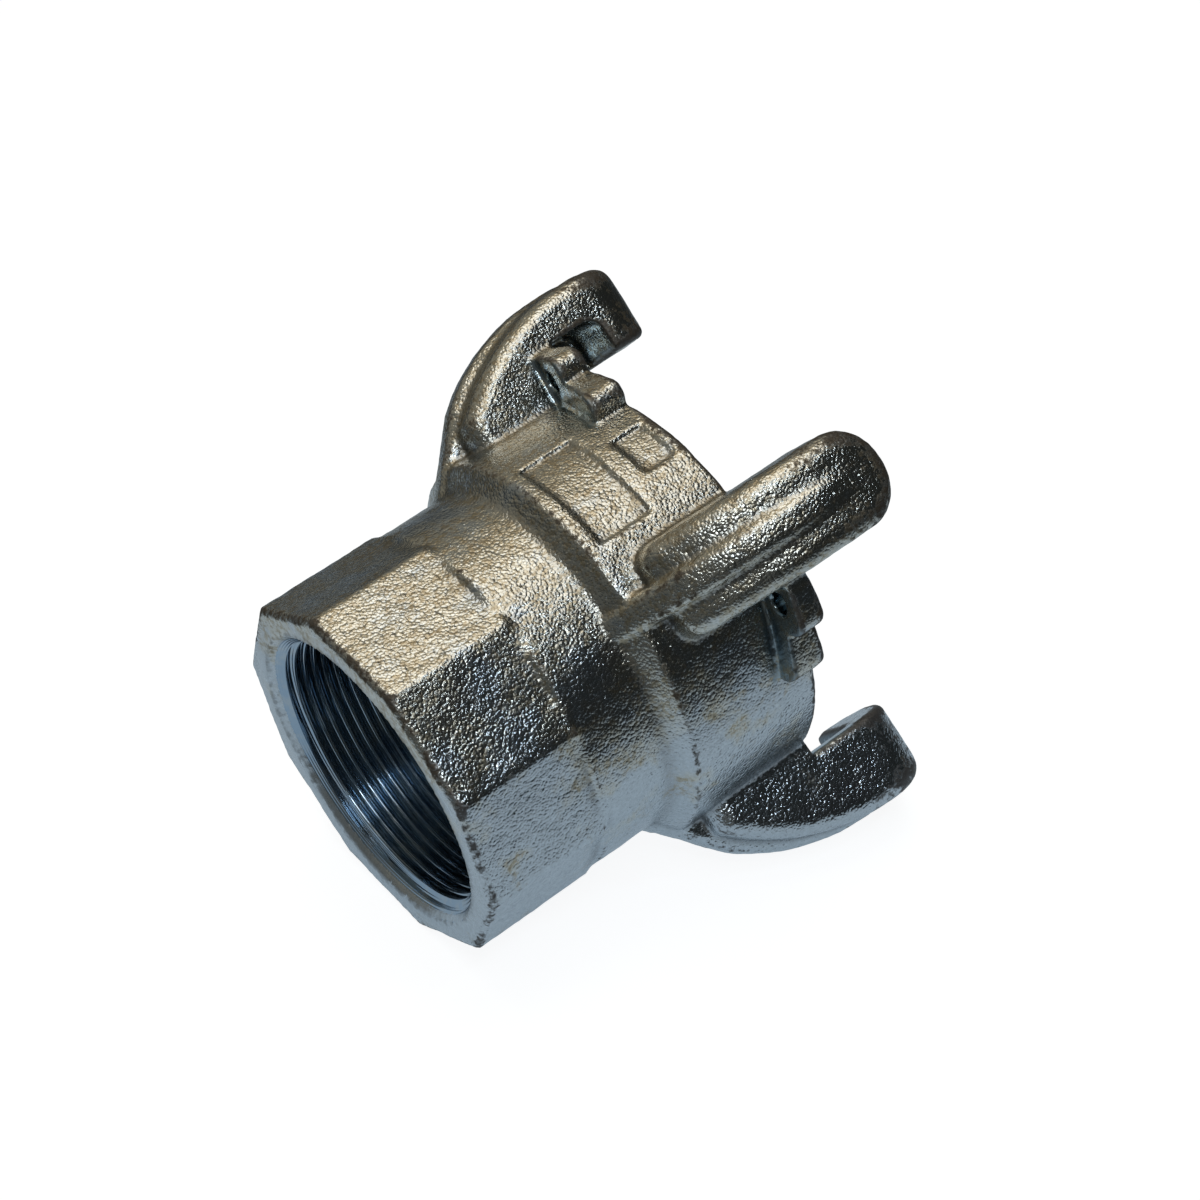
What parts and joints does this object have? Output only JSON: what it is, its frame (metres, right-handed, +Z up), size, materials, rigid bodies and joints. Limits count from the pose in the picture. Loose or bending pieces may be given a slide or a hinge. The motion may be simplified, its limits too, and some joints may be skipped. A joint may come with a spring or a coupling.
{
  "type": "hose coupling",
  "caption": "Crowfoot quick-coupling half for hose or pipe: cast hooks and cam flanges round the face, and a female pipe thread in a flatted wrench end.",
  "frame": {"origin": "on the floor that the coupling rests on, below the middle of its bounding box", "axes": "+Z up; +X along the floor from the threaded end towards the hooks, below the coupling's own axis, which climbs towards the hooks"},
  "size_m": [0.1058, 0.0958, 0.0958],
  "materials": {
    "casting": "bright zinc plate over a rough sand casting",
    "gasket": "matte moulded rubber"
  },
  "bodies": {
    "root": {"coupling_body": "casting", "face_gasket": "gasket"}
  },
  "joints": []
}
